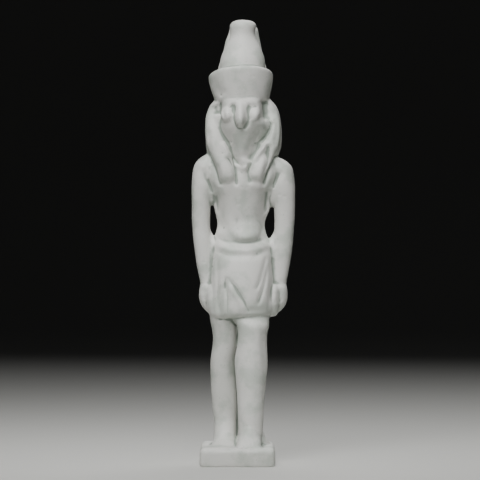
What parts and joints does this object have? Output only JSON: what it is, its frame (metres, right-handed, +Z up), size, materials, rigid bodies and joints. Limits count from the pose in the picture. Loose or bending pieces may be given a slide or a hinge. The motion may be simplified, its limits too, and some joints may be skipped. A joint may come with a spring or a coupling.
{
  "type": "faience figurine",
  "caption": "Striding falcon-headed god in wig, belted kilt and double crown, arms at the sides with fists closed, moulded in one with its back pillar and plinth.",
  "frame": {"origin": "centre of the plinth's underside, on the surface that it stands on", "axes": "+Z up through the crown, -Y the way the figure faces, +X towards the figure's left hand"},
  "size_m": [0.0235, 0.027, 0.1002],
  "materials": {
    "faience": "worn matt glaze, pale grey"
  },
  "bodies": {
    "root": {"horus_figurine": "faience"}
  },
  "joints": []
}
